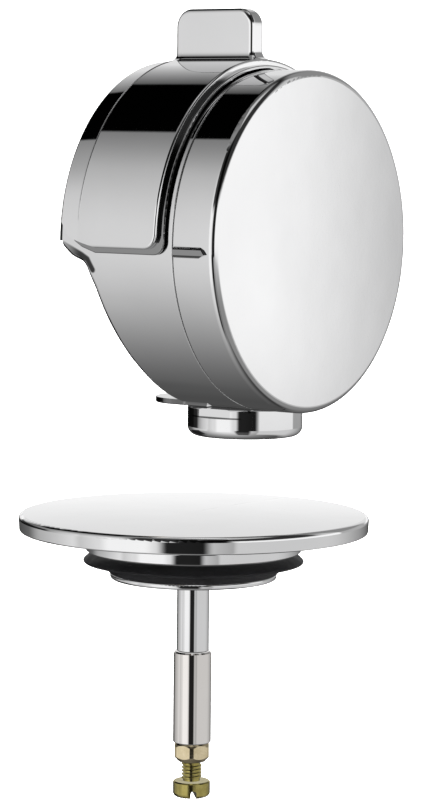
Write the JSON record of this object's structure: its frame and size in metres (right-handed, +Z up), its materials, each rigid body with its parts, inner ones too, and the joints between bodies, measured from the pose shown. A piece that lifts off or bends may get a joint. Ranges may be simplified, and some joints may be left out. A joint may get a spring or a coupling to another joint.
{
  "type": "bath waste and overflow",
  "caption": "Round chromed overflow and filler head with a turning half-shell lever, a water nozzle below it, and a flat pop-up waste plug on an adjustable stem that the lever lifts.",
  "frame": {"origin": "where the turning axis of the head meets the wall plane of the tub", "axes": "+Z up; +Y points from the head into the wall, along the turning axis; +X to the right as seen from inside the tub"},
  "size_m": [0.0724, 0.072, 0.162],
  "materials": {
    "chrome_head": "polished chrome plating on brass",
    "chrome_plug": "polished chrome plating on turned brass",
    "brass_plain": "bare turned brass",
    "brass_cast": "bare cast brass, fine sand texture",
    "steel": "turned stainless steel",
    "black_rubber": "moulded black rubber",
    "grey_plastic": "moulded glass-filled plastic",
    "white_plastic": "moulded pale plastic"
  },
  "bodies": {
    "overflow_head": {"overflow_housing": "chrome_head", "front_cover": "chrome_head", "nozzle": "chrome_head", "cover_o_ring": "black_rubber", "wall_gasket": "black_rubber", "water_body": "brass_cast", "inlet_o_rings": "black_rubber", "spindle_o_ring": "black_rubber", "fixing_screws": "steel", "housing_screws": "steel", "thrust_washer": "white_plastic", "nozzle_washer": "black_rubber", "aerator": "white_plastic"},
    "lever": {"lever_shell": "chrome_head", "drive_yoke": "grey_plastic", "yoke_screws": "steel", "spindle": "steel", "spindle_clip": "steel", "spindle_screw": "steel"},
    "plug": {"plug_cap": "chrome_plug", "plug_flange": "chrome_plug", "plug_seal": "black_rubber", "seal_retainer": "chrome_plug", "plug_stem": "chrome_plug", "guide_sleeve": "chrome_plug", "lock_nut": "brass_plain", "adjusting_screw": "brass_plain"}
  },
  "joints": [
    {"name": "lever_turn", "type": "hinge", "parent": "overflow_head", "child": "lever", "pos_m": [0, -0.02, 0], "axis": [0, -1, 0], "range_deg": [0, 60]},
    {"name": "plug_lift", "type": "slide", "parent": "overflow_head", "child": "plug", "axis": [0, 0, 1], "range_m": [0, 0.0121]}
  ],
  "couplings": [
    {"joint": "plug_lift", "follows": "lever_turn", "m_per_rad": 0.011459}
  ]
}
